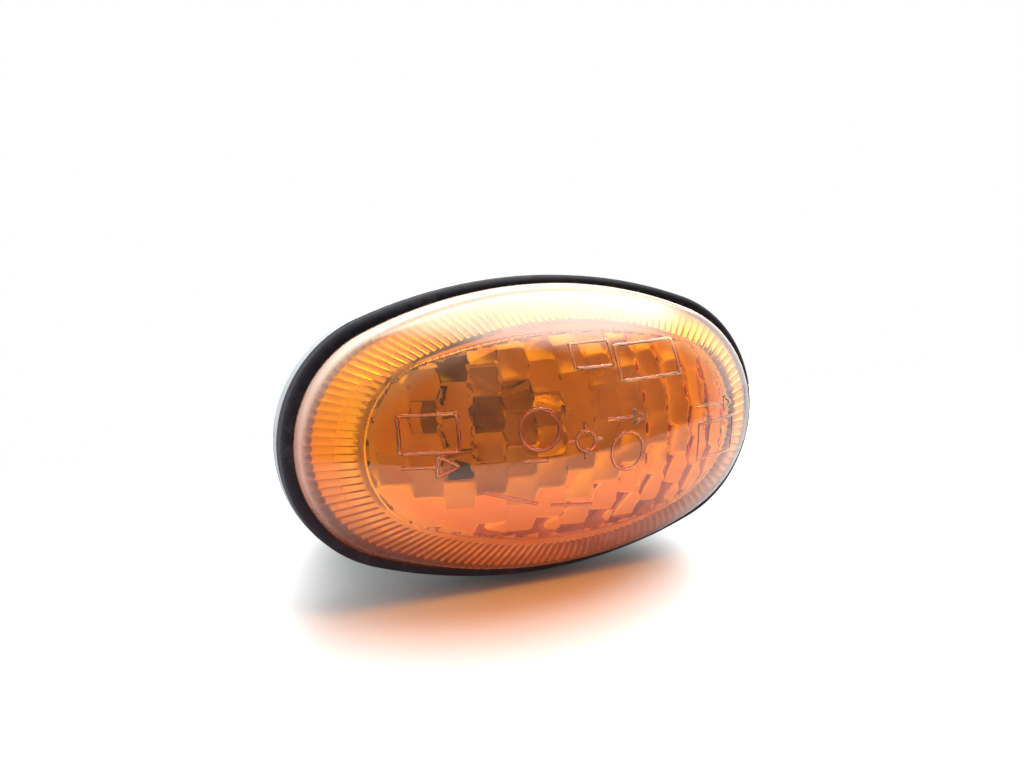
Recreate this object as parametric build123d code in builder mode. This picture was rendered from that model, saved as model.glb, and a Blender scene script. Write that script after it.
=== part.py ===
from build123d import *
import os
from math import cos, sin, radians, sqrt

os.makedirs("parts", exist_ok=True)

# Side repeater lamp: oval amber lens, rubber gasket, pale housing, bulb in a twist-lock holder.
# Millimetres. X runs along the lamp, -Y is the way the lens faces, +Z is up.
# The plane Y = 0 is the seat on the body panel. "Proud" is measured from it towards the lens,
# "depth" from it into the vehicle.

# Outline of the gasket, a four-arc oval
HALF_LENGTH = 36.0
HALF_HEIGHT = 20.6
END_RADIUS = 17.3

# Layers in front of the panel
FLANGE_THICK = 2.6
GASKET_THICK = 2.8
LENS_FOOT_THICK = 1.2
GASKET_ROUND = 1.0
FLANGE_INSET = 0.1
FLANGE_EDGE_ROUND = 0.5
FOOT_INSET = 0.8
WALL_END_INSET = 1.5
WALL_SIDE_INSET = 1.1
LENS_FIT = 0.1

# Dome of the lens: a short steep wall under a crown that is curved both ways
DOME_PROUD = 19.3
WALL_DRAFT = 12.5
SHOULDER_ROUND = 4.5
CROWN_RADIUS_LONG = 54.6
CROWN_RADIUS_CROSS = 22.4

# Optics inside the lens
CROWN_THICK = 2.4
FLUTES = 144
FLUTE_DEPTH = 0.35
FLUTE_MOUTH_INSET = 3.4
FLUTE_BEND_PROUD = 5.4
FLUTE_BEND_INSET = 3.9
FLUTE_END_PROUD = 9.0
FLUTE_END_HALF_LENGTH = 27.4
FLUTE_END_HALF_HEIGHT = 13.8
OPTIC_BORDER = 1.1
PILLOW_PITCH = 4.0
PILLOW_RADIUS = 9.0
PILLOW_RISE = 0.42

# Housing
TUB_INSET = 8.0
TUB_DEPTH = 18.0
TUB_DRAFT = 3.0
WALL_THICK = 2.0
SPIGOT_FIT = 0.15
SPIGOT_THICK = 1.2
SPIGOT_HEIGHT = 1.4
COLLAR_RADIUS = 11.0
COLLAR_LENGTH = 4.0
COLLAR_RIBS = 2
RIB_THICK = 1.6
RIB_REACH = 5.0
TONGUE_WIDTH = 10.0
TONGUE_REACH = 3.6
TONGUE_THICK = 2.6
PANEL_GAP = 1.4
BOSS_WIDTH = 13.0
BOSS_REACH = 2.6
BOSS_START = 10.5

# Spring clip
CLIP_WIDTH = 9.0
CLIP_THICK = 0.6
CLIP_FIT = 0.05
CLIP_KNEE_REACH = 4.6
CLIP_KNEE_DEPTH = 4.6
CLIP_TIP_DEPTH = 1.5
CLIP_ROOT_DEPTH = 16.0
CLIP_ROOT_REACH = 0.7
CLIP_TIP_REACH = 1.7
CLIP_BEND = 1.2
SEAL_FIT = 0.1

# Bulb holder
SLEEVE_RADIUS = 7.6
BORE_FIT = 0.3
LUGS = 3
LUG_WIDTH = 4.0
LUG_REACH = 1.7
LUG_THICK = 2.2
LUG_FIT = 0.2
LOCK_TURN = 60.0
SEAL_THICK = 1.4
SEAL_WIDTH = 2.4
HOLDER_FLANGE_RADIUS = 12.0
HOLDER_FLANGE_THICK = 2.2
GRIP_LENGTH = 6.0
GRIP_WIDTH = 22.0
GRIP_THICK = 4.0
SHROUD_WIDTH = 17.0
SHROUD_HEIGHT = 14.0
SHROUD_WALL = 1.5
SHROUD_LENGTH = 11.0
SHROUD_ROUND = 2.0
KEY_WIDTH = 3.0
KEY_REACH = 1.2

# Bulb
BULB_RADIUS = 5.0
BULB_WALL = 0.7
BULB_LENGTH = 26.0
WEDGE_WIDTH = 8.6
WEDGE_THICK = 2.2
WEDGE_LENGTH = 7.0
WEDGE_FIT = 0.2
LEAD_RADIUS = 0.25
LEAD_SPREAD = 2.0
LEAD_FOLD = 4.0
LEAD_LIFT = 0.02
LEAD_BEND = 0.5
LEAD_TURN = 0.6
FILAMENT_RADIUS = 0.15
FILAMENT_RISE = 1.2
FILAMENT_FROM_TIP = 8.0

# Contacts
BLADE_WIDTH = 2.8
BLADE_THICK = 0.8
BLADE_SPREAD = 3.6
BLADE_FIT = 0.05
BLADE_INSET = 1.5
LEAF_THICK = 0.35
LEAF_REACH = 2.4
LEAF_LIFT = 0.04
SOCKET_PLAY = 0.25
SOCKET_RUN = 2.4
STEP_START = 1.0

# Planes: one looks out through the lens, one looks into the vehicle
FRONT = Plane.XZ
REAR = Plane(origin=(0, 0, 0), x_dir=(1, 0, 0), z_dir=(0, 1, 0))

# Depths along the axis of the holder
FLOOR_DEPTH = TUB_DEPTH - WALL_THICK
COLLAR_END = TUB_DEPTH + COLLAR_LENGTH
HOLDER_FACE = COLLAR_END + SEAL_THICK
GRIP_START = HOLDER_FACE + HOLDER_FLANGE_THICK
GRIP_END = GRIP_START + GRIP_LENGTH
TAIL_END = GRIP_END + SHROUD_LENGTH
SLEEVE_START = FLOOR_DEPTH - LUG_FIT - LUG_THICK - 1.6
BORE_RADIUS = SLEEVE_RADIUS + BORE_FIT
BULB_SHOULDER = SLEEVE_START - WEDGE_FIT
BULB_TIP = BULB_SHOULDER + WEDGE_LENGTH - BULB_LENGTH
WEDGE_END = BULB_SHOULDER + WEDGE_LENGTH
FILAMENT_DEPTH = BULB_TIP + FILAMENT_FROM_TIP


def oval(half_length, half_height, end_radius):
    """Face of a four-arc oval about the origin."""
    run = half_length - end_radius
    rise = half_height - end_radius
    side_radius = (run**2 + half_height**2 - end_radius**2) / (2 * rise)
    span = sqrt(run**2 + (side_radius - half_height) ** 2)
    touch_x = run / span * side_radius
    touch_z = (side_radius - half_height) / span * end_radius
    with BuildSketch() as face:
        with BuildLine():
            ThreePointArc((-touch_x, touch_z), (0, half_height), (touch_x, touch_z))
            ThreePointArc((touch_x, touch_z), (half_length, 0), (touch_x, -touch_z))
            ThreePointArc((touch_x, -touch_z), (0, -half_height), (-touch_x, -touch_z))
            ThreePointArc((-touch_x, -touch_z), (-half_length, 0), (-touch_x, touch_z))
        make_face()
    return face.sketch


def inset_oval(inset):
    """Face of the lamp's oval, drawn in by the inset all round."""
    return oval(HALF_LENGTH - inset, HALF_HEIGHT - inset, END_RADIUS - inset)


def flute_points(half_length, half_height):
    """Corners of the fluted ring's zigzag, brought to the given half sizes."""
    path = inset_oval(FLUTE_MOUTH_INSET).face().outer_wire()
    stretch_x = half_length / (HALF_LENGTH - FLUTE_MOUTH_INSET)
    stretch_z = half_height / (HALF_HEIGHT - FLUTE_MOUTH_INSET)
    corners = []
    for step in range(2 * FLUTES):
        spot = path.position_at(step / (2 * FLUTES))
        across, up = spot.X * stretch_x, spot.Y * stretch_z
        pull = 1 - (step % 2) * FLUTE_DEPTH / sqrt(across**2 + up**2)
        corners.append((across * pull, up * pull))
    return corners


def crown_profile(long_radius, cross_radius):
    """Half section of a crown, to be turned about a line behind the lamp."""
    chord = cross_radius * 0.99
    start = long_radius - cross_radius + sqrt(cross_radius**2 - chord**2)
    with BuildSketch() as face:
        with BuildLine():
            arc = ThreePointArc((start, -chord), (long_radius, 0), (start, chord))
            Line(arc @ 1, (0, chord))
            Line((0, chord), (0, -chord))
            Line((0, -chord), arc @ 0)
        make_face()
    return face.sketch


def wall_oval(clear):
    """Face of the foot of the lens wall, let out by the clearance all round."""
    return oval(
        HALF_LENGTH - WALL_END_INSET + clear,
        HALF_HEIGHT - WALL_SIDE_INSET + clear,
        END_RADIUS - WALL_END_INSET + clear,
    )


# Space behind the front of the crown, outside and inside
crown_axis = CROWN_RADIUS_LONG - DOME_PROUD
with BuildPart() as crown_outer:
    with BuildSketch(Plane(origin=(0, crown_axis, 0), x_dir=(1, 0, 0), z_dir=(0, -1, 0))):
        add(crown_profile(CROWN_RADIUS_LONG, CROWN_RADIUS_CROSS))
    revolve(axis=Axis((0, crown_axis, 0), (0, 0, 1)), revolution_arc=-180)

pocket_long = CROWN_RADIUS_LONG - CROWN_THICK
pocket_cross = CROWN_RADIUS_CROSS - CROWN_THICK
with BuildPart() as crown_inner:
    with BuildSketch(Plane(origin=(0, crown_axis, 0), x_dir=(1, 0, 0), z_dir=(0, -1, 0))):
        add(crown_profile(pocket_long, pocket_cross))
    revolve(axis=Axis((0, crown_axis, 0), (0, 0, 1)), revolution_arc=-180)

# Hollow of the lens: fluted ring, then the optic pocket under the crown with its pillows
with BuildPart() as lens_hollow:
    for near_proud, near_half, far_proud, far_half in (
        (
            FLANGE_THICK,
            (HALF_LENGTH - FLUTE_MOUTH_INSET, HALF_HEIGHT - FLUTE_MOUTH_INSET),
            FLUTE_BEND_PROUD,
            (HALF_LENGTH - FLUTE_BEND_INSET, HALF_HEIGHT - FLUTE_BEND_INSET),
        ),
        (
            FLUTE_BEND_PROUD,
            (HALF_LENGTH - FLUTE_BEND_INSET, HALF_HEIGHT - FLUTE_BEND_INSET),
            FLUTE_END_PROUD,
            (FLUTE_END_HALF_LENGTH, FLUTE_END_HALF_HEIGHT),
        ),
    ):
        with BuildSketch(FRONT.offset(near_proud)):
            Polygon(*flute_points(*near_half), align=None)
        with BuildSketch(FRONT.offset(far_proud)):
            Polygon(*flute_points(*far_half), align=None)
        loft(ruled=True)

with BuildPart() as optic_pocket:
    with BuildSketch(FRONT.offset(FLUTE_BEND_PROUD)):
        add(
            oval(
                FLUTE_END_HALF_LENGTH - OPTIC_BORDER,
                FLUTE_END_HALF_HEIGHT - OPTIC_BORDER,
                (FLUTE_END_HALF_HEIGHT - OPTIC_BORDER) * END_RADIUS / HALF_HEIGHT,
            )
        )
    extrude(amount=DOME_PROUD - FLUTE_BEND_PROUD)
    add(crown_inner.part, mode=Mode.INTERSECT)
    lift = PILLOW_RADIUS - PILLOW_RISE
    columns = int(FLUTE_END_HALF_LENGTH / PILLOW_PITCH)
    rows = int(FLUTE_END_HALF_HEIGHT / PILLOW_PITCH + 1)
    spots = []
    for column in range(-columns, columns + 1):
        swing = column * PILLOW_PITCH / pocket_long
        stagger = 0.5 if column % 2 == 0 else 0
        for row in range(-rows, rows + 1):
            tilt = (row + stagger) * PILLOW_PITCH / pocket_cross
            reach = pocket_long - pocket_cross + (pocket_cross + lift) * cos(tilt)
            across = reach * sin(swing)
            up = (pocket_cross + lift) * sin(tilt)
            fill = (across / FLUTE_END_HALF_LENGTH) ** 2 + (up / FLUTE_END_HALF_HEIGHT) ** 2
            if fill < 1.35:
                spots.append((across, crown_axis - reach * cos(swing), up))
    with Locations(*spots):
        Sphere(PILLOW_RADIUS, mode=Mode.SUBTRACT)

# Lens: foot under the gasket, drafted wall, crown and shoulder
with BuildPart() as lens:
    joint_proud = FLANGE_THICK + GASKET_THICK
    with BuildSketch(FRONT.offset(joint_proud)):
        add(wall_oval(0))
    extrude(amount=DOME_PROUD - joint_proud, taper=WALL_DRAFT)
    add(crown_outer.part, mode=Mode.INTERSECT)
    shoulder = [edge for edge in edges() if edge.center().Y < -joint_proud - 1 and not edge.is_closed]
    fillet([edge for edge in shoulder if abs(edge.tangent_at(0.5).Y) < 0.5], radius=SHOULDER_ROUND)
    with BuildSketch(FRONT.offset(FLANGE_THICK)):
        add(wall_oval(0))
    extrude(amount=GASKET_THICK)
    with BuildSketch(FRONT.offset(FLANGE_THICK)):
        add(inset_oval(FOOT_INSET))
    extrude(amount=LENS_FOOT_THICK)
    add(lens_hollow.part, mode=Mode.SUBTRACT)
    add(optic_pocket.part, mode=Mode.SUBTRACT)
lens.part.label = "lens"
export_step(lens.part, "parts/lens.step")

# Gasket: ring of rubber over the lens foot, its lip against the wall of the lens
with BuildPart() as gasket:
    with BuildSketch(FRONT.offset(FLANGE_THICK)):
        add(inset_oval(0))
    extrude(amount=GASKET_THICK)
    fillet(edges().group_by(Axis.Y)[0], radius=GASKET_ROUND)
    with BuildSketch(FRONT.offset(FLANGE_THICK)):
        add(inset_oval(FOOT_INSET - LENS_FIT))
    extrude(amount=LENS_FOOT_THICK + LENS_FIT, mode=Mode.SUBTRACT)
    with BuildSketch(FRONT.offset(FLANGE_THICK)):
        add(wall_oval(LENS_FIT))
    extrude(amount=GASKET_THICK, mode=Mode.SUBTRACT)
gasket.part.label = "gasket"
export_step(gasket.part, "parts/gasket.step")

# Housing: flange on the panel, tub behind it, collar for the holder, tongue and clip boss
with BuildPart() as housing:
    tub_half = HALF_LENGTH - TUB_INSET
    flute_lean = (FLUTE_BEND_INSET - FLUTE_MOUTH_INSET) / (FLUTE_BEND_PROUD - FLANGE_THICK)
    spigot_inset = FLUTE_MOUTH_INSET + flute_lean * SPIGOT_HEIGHT + FLUTE_DEPTH + SPIGOT_FIT
    with BuildSketch(FRONT):
        add(inset_oval(FLANGE_INSET))
    extrude(amount=FLANGE_THICK)
    fillet(edges().group_by(Axis.Y)[-1], radius=FLANGE_EDGE_ROUND)
    with BuildSketch(FRONT.offset(FLANGE_THICK)):
        add(inset_oval(spigot_inset))
    extrude(amount=SPIGOT_HEIGHT)
    with BuildSketch(FRONT.offset(FLANGE_THICK)):
        add(inset_oval(spigot_inset + SPIGOT_THICK))
    extrude(amount=SPIGOT_HEIGHT, mode=Mode.SUBTRACT)
    with BuildSketch(REAR):
        add(inset_oval(TUB_INSET))
    extrude(amount=TUB_DEPTH, taper=TUB_DRAFT)
    with BuildSketch(REAR.offset(TUB_DEPTH)):
        Circle(COLLAR_RADIUS)
        with PolarLocations(COLLAR_RADIUS + RIB_REACH / 2 - 0.5, COLLAR_RIBS):
            Rectangle(RIB_REACH + 1, RIB_THICK)
    extrude(amount=COLLAR_LENGTH)
    with BuildSketch(REAR.offset(PANEL_GAP)):
        with Locations((-tub_half + WALL_THICK / 2 - TONGUE_REACH / 2, 0)):
            Rectangle(TONGUE_REACH + WALL_THICK, TONGUE_WIDTH)
    extrude(amount=TONGUE_THICK)
    with BuildSketch(REAR.offset(BOSS_START)):
        with Locations((tub_half - WALL_THICK / 2 + BOSS_REACH / 2, 0)):
            Rectangle(BOSS_REACH + WALL_THICK, BOSS_WIDTH)
    extrude(amount=TUB_DEPTH - BOSS_START)
    with BuildSketch(REAR.offset(-FLANGE_THICK)):
        add(inset_oval(TUB_INSET + WALL_THICK))
    extrude(amount=FLANGE_THICK + FLOOR_DEPTH, taper=TUB_DRAFT, mode=Mode.SUBTRACT)
    with BuildSketch(REAR.offset(FLOOR_DEPTH)):
        Circle(BORE_RADIUS)
        with PolarLocations((SLEEVE_RADIUS + LUG_REACH + LUG_FIT) / 2, LUGS):
            Rectangle(SLEEVE_RADIUS + LUG_REACH + LUG_FIT, LUG_WIDTH + 2 * LUG_FIT)
    extrude(amount=WALL_THICK + COLLAR_LENGTH, mode=Mode.SUBTRACT)
    with BuildSketch(REAR.offset(BOSS_START)):
        with Locations((tub_half + CLIP_ROOT_REACH + CLIP_THICK / 2, 0)):
            Rectangle(CLIP_THICK + 2 * CLIP_FIT, CLIP_WIDTH + 2 * CLIP_FIT)
    extrude(amount=CLIP_ROOT_DEPTH + CLIP_FIT - BOSS_START, mode=Mode.SUBTRACT)
housing.part.label = "housing"
export_step(housing.part, "parts/housing.step")

# Spring clip: bent leaf, its root in the slot of the boss and its knee behind the panel
with BuildPart() as spring_clip:
    with BuildSketch(Plane.XY.offset(-CLIP_WIDTH / 2)):
        with BuildLine():
            FilletPolyline(
                (tub_half + CLIP_ROOT_REACH, CLIP_ROOT_DEPTH),
                (tub_half + CLIP_ROOT_REACH, BOSS_START - CLIP_BEND),
                (tub_half + CLIP_KNEE_REACH, CLIP_KNEE_DEPTH),
                (tub_half + CLIP_TIP_REACH, CLIP_TIP_DEPTH),
                radius=CLIP_BEND,
            )
            offset(amount=CLIP_THICK, side=Side.LEFT)
        make_face()
    extrude(amount=CLIP_WIDTH)
spring_clip.part.label = "spring_clip"
export_step(spring_clip.part, "parts/spring_clip.step")

# Bulb: lead wires folded over the wedge, filament between them, glass fused round the wires
with BuildPart() as lead_left:
    lead_rise = WEDGE_THICK / 2 + LEAD_LIFT + LEAD_RADIUS
    with BuildLine():
        FilletPolyline(
            (-LEAD_SPREAD, FILAMENT_DEPTH, 0),
            (-LEAD_SPREAD, WEDGE_END + LEAD_TURN, 0),
            (-LEAD_SPREAD, WEDGE_END + LEAD_TURN, lead_rise),
            (-LEAD_SPREAD, WEDGE_END - LEAD_FOLD, lead_rise),
            radius=LEAD_BEND,
        )
    with BuildSketch(Plane(origin=(-LEAD_SPREAD, FILAMENT_DEPTH, 0), x_dir=(1, 0, 0), z_dir=(0, 1, 0))):
        Circle(LEAD_RADIUS)
    sweep()
lead_left.part.label = "lead_left"
export_step(lead_left.part, "parts/lead_left.step")

with BuildPart() as lead_right:
    with BuildLine():
        FilletPolyline(
            (LEAD_SPREAD, FILAMENT_DEPTH, 0),
            (LEAD_SPREAD, WEDGE_END + LEAD_TURN, 0),
            (LEAD_SPREAD, WEDGE_END + LEAD_TURN, -lead_rise),
            (LEAD_SPREAD, WEDGE_END - LEAD_FOLD, -lead_rise),
            radius=LEAD_BEND,
        )
    with BuildSketch(Plane(origin=(LEAD_SPREAD, FILAMENT_DEPTH, 0), x_dir=(1, 0, 0), z_dir=(0, 1, 0))):
        Circle(LEAD_RADIUS)
    sweep()
lead_right.part.label = "lead_right"
export_step(lead_right.part, "parts/lead_right.step")

with BuildPart() as bulb_filament:
    with BuildLine() as filament_path:
        ThreePointArc(
            (-LEAD_SPREAD, FILAMENT_DEPTH, 0),
            (0, FILAMENT_DEPTH - FILAMENT_RISE, 0),
            (LEAD_SPREAD, FILAMENT_DEPTH, 0),
        )
    with BuildSketch(Plane(origin=filament_path.line @ 0, z_dir=filament_path.line % 0)):
        Circle(FILAMENT_RADIUS)
    sweep()
    add(lead_left.part, mode=Mode.SUBTRACT)
    add(lead_right.part, mode=Mode.SUBTRACT)
bulb_filament.part.label = "bulb_filament"
export_step(bulb_filament.part, "parts/bulb_filament.step")

with BuildPart() as bulb_glass:
    with BuildSketch(Plane.XY):
        with BuildLine():
            Line((0, BULB_SHOULDER), (BULB_RADIUS, BULB_SHOULDER))
            Line((BULB_RADIUS, BULB_SHOULDER), (BULB_RADIUS, BULB_TIP + BULB_RADIUS))
            RadiusArc((BULB_RADIUS, BULB_TIP + BULB_RADIUS), (0, BULB_TIP), BULB_RADIUS)
            Line((0, BULB_TIP), (0, BULB_SHOULDER))
        make_face()
    revolve(axis=Axis.Y)
    with BuildSketch(REAR.offset(BULB_SHOULDER)):
        Rectangle(WEDGE_WIDTH, WEDGE_THICK)
    extrude(amount=WEDGE_LENGTH)
    with BuildSketch(Plane.XY):
        with BuildLine():
            inner = BULB_RADIUS - BULB_WALL
            Line((0, BULB_SHOULDER - BULB_WALL), (inner, BULB_SHOULDER - BULB_WALL))
            Line((inner, BULB_SHOULDER - BULB_WALL), (inner, BULB_TIP + BULB_RADIUS))
            RadiusArc((inner, BULB_TIP + BULB_RADIUS), (0, BULB_TIP + BULB_WALL), inner)
            Line((0, BULB_TIP + BULB_WALL), (0, BULB_SHOULDER - BULB_WALL))
        make_face()
    revolve(axis=Axis.Y, mode=Mode.SUBTRACT)
    with BuildSketch(REAR.offset(FILAMENT_DEPTH)):
        with Locations((-LEAD_SPREAD, 0), (LEAD_SPREAD, 0)):
            Circle(LEAD_RADIUS)
    extrude(amount=WEDGE_END - FILAMENT_DEPTH, mode=Mode.SUBTRACT)
bulb_glass.part.label = "bulb_glass"
export_step(bulb_glass.part, "parts/bulb_glass.step")

# Contacts: blade in the connector, step beside the wedge, leaf over the folded wire
leaf_low = lead_rise + LEAD_RADIUS + LEAF_LIFT
leaf_top = leaf_low + LEAF_THICK
with BuildPart() as contact_left:
    with BuildSketch(REAR.offset(WEDGE_END + STEP_START)):
        with Locations((-BLADE_SPREAD, 0)):
            Rectangle(BLADE_THICK, BLADE_WIDTH)
    extrude(amount=TAIL_END - BLADE_INSET - WEDGE_END - STEP_START)
    with BuildSketch(Plane.XY):
        with Locations((-BLADE_SPREAD, WEDGE_END + (STEP_START + SOCKET_RUN) / 2)):
            Rectangle(BLADE_THICK, SOCKET_RUN - STEP_START)
    extrude(amount=leaf_top)
    with BuildSketch(Plane.XY.offset(leaf_low)):
        with Locations((-BLADE_SPREAD - BLADE_THICK / 2, WEDGE_END + SOCKET_RUN)):
            Rectangle(LEAF_REACH, LEAD_FOLD + SOCKET_RUN, align=(Align.MIN, Align.MAX))
    extrude(amount=LEAF_THICK)
contact_left.part.label = "contact_left"
export_step(contact_left.part, "parts/contact_left.step")

with BuildPart() as contact_right:
    with BuildSketch(REAR.offset(WEDGE_END + STEP_START)):
        with Locations((BLADE_SPREAD, 0)):
            Rectangle(BLADE_THICK, BLADE_WIDTH)
    extrude(amount=TAIL_END - BLADE_INSET - WEDGE_END - STEP_START)
    with BuildSketch(Plane.XY):
        with Locations((BLADE_SPREAD, WEDGE_END + (STEP_START + SOCKET_RUN) / 2)):
            Rectangle(BLADE_THICK, SOCKET_RUN - STEP_START)
    extrude(amount=-leaf_top)
    with BuildSketch(Plane.XY.offset(-leaf_low)):
        with Locations((BLADE_SPREAD + BLADE_THICK / 2, WEDGE_END + SOCKET_RUN)):
            Rectangle(LEAF_REACH, LEAD_FOLD + SOCKET_RUN, align=(Align.MAX, Align.MAX))
    extrude(amount=-LEAF_THICK)
contact_right.part.label = "contact_right"
export_step(contact_right.part, "parts/contact_right.step")

# Bulb holder: sleeve with bayonet lugs, flange, grip wings, connector shroud
with BuildPart() as bulb_holder:
    with BuildSketch(REAR.offset(SLEEVE_START)):
        Circle(SLEEVE_RADIUS)
    extrude(amount=HOLDER_FACE - SLEEVE_START)
    with BuildSketch(REAR.offset(FLOOR_DEPTH - LUG_FIT - LUG_THICK)):
        with PolarLocations((SLEEVE_RADIUS + LUG_REACH) / 2, LUGS, start_angle=LOCK_TURN):
            Rectangle(SLEEVE_RADIUS + LUG_REACH, LUG_WIDTH)
    extrude(amount=LUG_THICK)
    with BuildSketch(REAR.offset(HOLDER_FACE)):
        Circle(HOLDER_FLANGE_RADIUS)
    extrude(amount=HOLDER_FLANGE_THICK)
    with BuildSketch(REAR.offset(GRIP_START)):
        RectangleRounded(GRIP_WIDTH, GRIP_THICK, GRIP_THICK / 2 - 0.2)
    extrude(amount=GRIP_LENGTH)
    with BuildSketch(REAR.offset(GRIP_START)):
        RectangleRounded(SHROUD_WIDTH, SHROUD_HEIGHT, SHROUD_ROUND)
        with Locations((0, -SHROUD_HEIGHT / 2 - KEY_REACH / 2 + 0.25)):
            Rectangle(KEY_WIDTH, KEY_REACH + 0.5)
    extrude(amount=TAIL_END - GRIP_START)
    with BuildSketch(REAR.offset(GRIP_END)):
        RectangleRounded(SHROUD_WIDTH - 2 * SHROUD_WALL, SHROUD_HEIGHT - 2 * SHROUD_WALL, SHROUD_ROUND - 1)
    extrude(amount=SHROUD_LENGTH, mode=Mode.SUBTRACT)
    with BuildSketch(REAR.offset(SLEEVE_START)):
        Rectangle(WEDGE_WIDTH + 2 * WEDGE_FIT, 2 * (leaf_top + SOCKET_PLAY))
    extrude(amount=WEDGE_END + SOCKET_RUN + BLADE_FIT - SLEEVE_START, mode=Mode.SUBTRACT)
    with BuildSketch(REAR.offset(WEDGE_END)):
        with Locations((-BLADE_SPREAD, 0), (BLADE_SPREAD, 0)):
            Rectangle(BLADE_THICK + 2 * BLADE_FIT, BLADE_WIDTH + 2 * BLADE_FIT)
    extrude(amount=GRIP_END - WEDGE_END, mode=Mode.SUBTRACT)
bulb_holder.part.label = "bulb_holder"
export_step(bulb_holder.part, "parts/bulb_holder.step")

# Seal between the holder's flange and the collar
with BuildPart() as holder_seal:
    with BuildSketch(REAR.offset(COLLAR_END)):
        Circle(SLEEVE_RADIUS + SEAL_FIT + SEAL_WIDTH)
        Circle(SLEEVE_RADIUS + SEAL_FIT, mode=Mode.SUBTRACT)
    extrude(amount=SEAL_THICK)
holder_seal.part.label = "holder_seal"
export_step(holder_seal.part, "parts/holder_seal.step")
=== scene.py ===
"""Looks of an amber side repeater lamp, built round its CAD frame, in metres with +Z up and the lens facing -Y."""

import logging
import math
from dataclasses import dataclass, field
from enum import Enum
from functools import partial
from typing import Any, Callable, Mapping, Sequence

import bmesh
import bpy
import numpy as np
from bpy.types import Material, Mesh, NodeSocket, NodeTree, Object
from mathutils import Matrix, Vector
from mathutils.geometry import delaunay_2d_cdt


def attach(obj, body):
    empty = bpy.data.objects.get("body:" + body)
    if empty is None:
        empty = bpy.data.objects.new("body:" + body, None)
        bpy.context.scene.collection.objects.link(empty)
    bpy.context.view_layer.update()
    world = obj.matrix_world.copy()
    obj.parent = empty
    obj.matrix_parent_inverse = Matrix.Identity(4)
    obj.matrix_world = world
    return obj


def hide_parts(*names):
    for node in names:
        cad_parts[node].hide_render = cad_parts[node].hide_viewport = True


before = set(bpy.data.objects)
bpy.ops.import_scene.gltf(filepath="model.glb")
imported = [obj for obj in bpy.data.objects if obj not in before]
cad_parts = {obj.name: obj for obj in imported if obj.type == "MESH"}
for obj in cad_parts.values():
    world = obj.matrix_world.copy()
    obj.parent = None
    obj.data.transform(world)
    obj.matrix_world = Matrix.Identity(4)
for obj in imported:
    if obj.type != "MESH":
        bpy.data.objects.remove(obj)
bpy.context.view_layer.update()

LOG = logging.getLogger("side_repeater")
MM = 0.001
IMAGE_WIDTH = 1024
SENSOR_MM = 36.0
RGBA = {"out": 2, "data_type": "RGBA"}
Pair = tuple[float, float]
Triple = tuple[float, float, float]
Colour = tuple[float, float, float, float]


def srgb(code: str) -> Colour:
    """Turn an sRGB hex code into a linear colour.

    Args:
        code: Six hex digits with a leading hash.

    Returns:
        Linear red, green and blue, with full alpha.
    """
    parts = [int(code[i : i + 2], 16) / 255 for i in (1, 3, 5)]
    linear = [c / 12.92 if c <= 0.04045 else ((c + 0.055) / 1.055) ** 2.4 for c in parts]
    return (*linear, 1.0)


def add(
    tree: NodeTree, kind: str, sockets: Mapping[Any, Any] | None = None, out: Any = 0, **settings: Any
) -> Any:
    """Add a node with its settings and links.

    Args:
        tree: Node tree that takes the node.
        kind: Node type name.
        sockets: Input name or index to a constant, or to the output socket that feeds it.
        out: Name or index of the output to give back.
        settings: Properties of the node.

    Returns:
        The asked output socket, or the node itself where it has no outputs.
    """
    made = tree.nodes.new(kind)
    for name, value in settings.items():
        setattr(made, name, value)
    for key, value in (sockets or {}).items():
        if isinstance(value, NodeSocket):
            tree.links.new(value, made.inputs[key])
        else:
            made.inputs[key].default_value = value
    return made.outputs[out] if len(made.outputs) else made


def new_material(name: str) -> tuple[Material, Callable[..., Any], Any]:
    """Start an empty node material.

    Args:
        name: Name of the material.

    Returns:
        The material, the function that adds a node to it, and the object coordinates that its textures follow.
    """
    made = bpy.data.materials.new(name)
    made.use_nodes = True
    made.node_tree.nodes.clear()
    node = partial(add, made.node_tree)
    return made, node, node("ShaderNodeTexCoord", out="Object")


def new_tree(name: str, inputs: Mapping[str, str]) -> tuple[NodeTree, Callable[..., Any], Any]:
    """Start a Geometry Nodes tree with named inputs.

    Args:
        name: Name of the tree.
        inputs: Input name to socket type, after the geometry itself.

    Returns:
        The tree, the function that adds a node to it, and its group input node.
    """
    tree = bpy.data.node_groups.new(name, "GeometryNodeTree")
    tree.interface.new_socket(name="Geometry", in_out="INPUT", socket_type="NodeSocketGeometry")
    for label, kind in inputs.items():
        tree.interface.new_socket(name=label, in_out="INPUT", socket_type=kind)
    tree.interface.new_socket(name="Geometry", in_out="OUTPUT", socket_type="NodeSocketGeometry")
    node = partial(add, tree)
    return tree, node, node("NodeGroupInput").node


def close_tree(tree: NodeTree, geometry: Any, material: Material) -> None:
    """End a tree in Realize Instances, Set Material and its output.

    Args:
        tree: Tree to end.
        geometry: Output socket that carries the finished geometry.
        material: Material that the result takes.
    """
    real = add(tree, "GeometryNodeRealizeInstances", {"Geometry": geometry})
    dressed = add(tree, "GeometryNodeSetMaterial", {"Geometry": real, "Material": material})
    add(tree, "NodeGroupOutput", {0: dressed})


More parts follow.
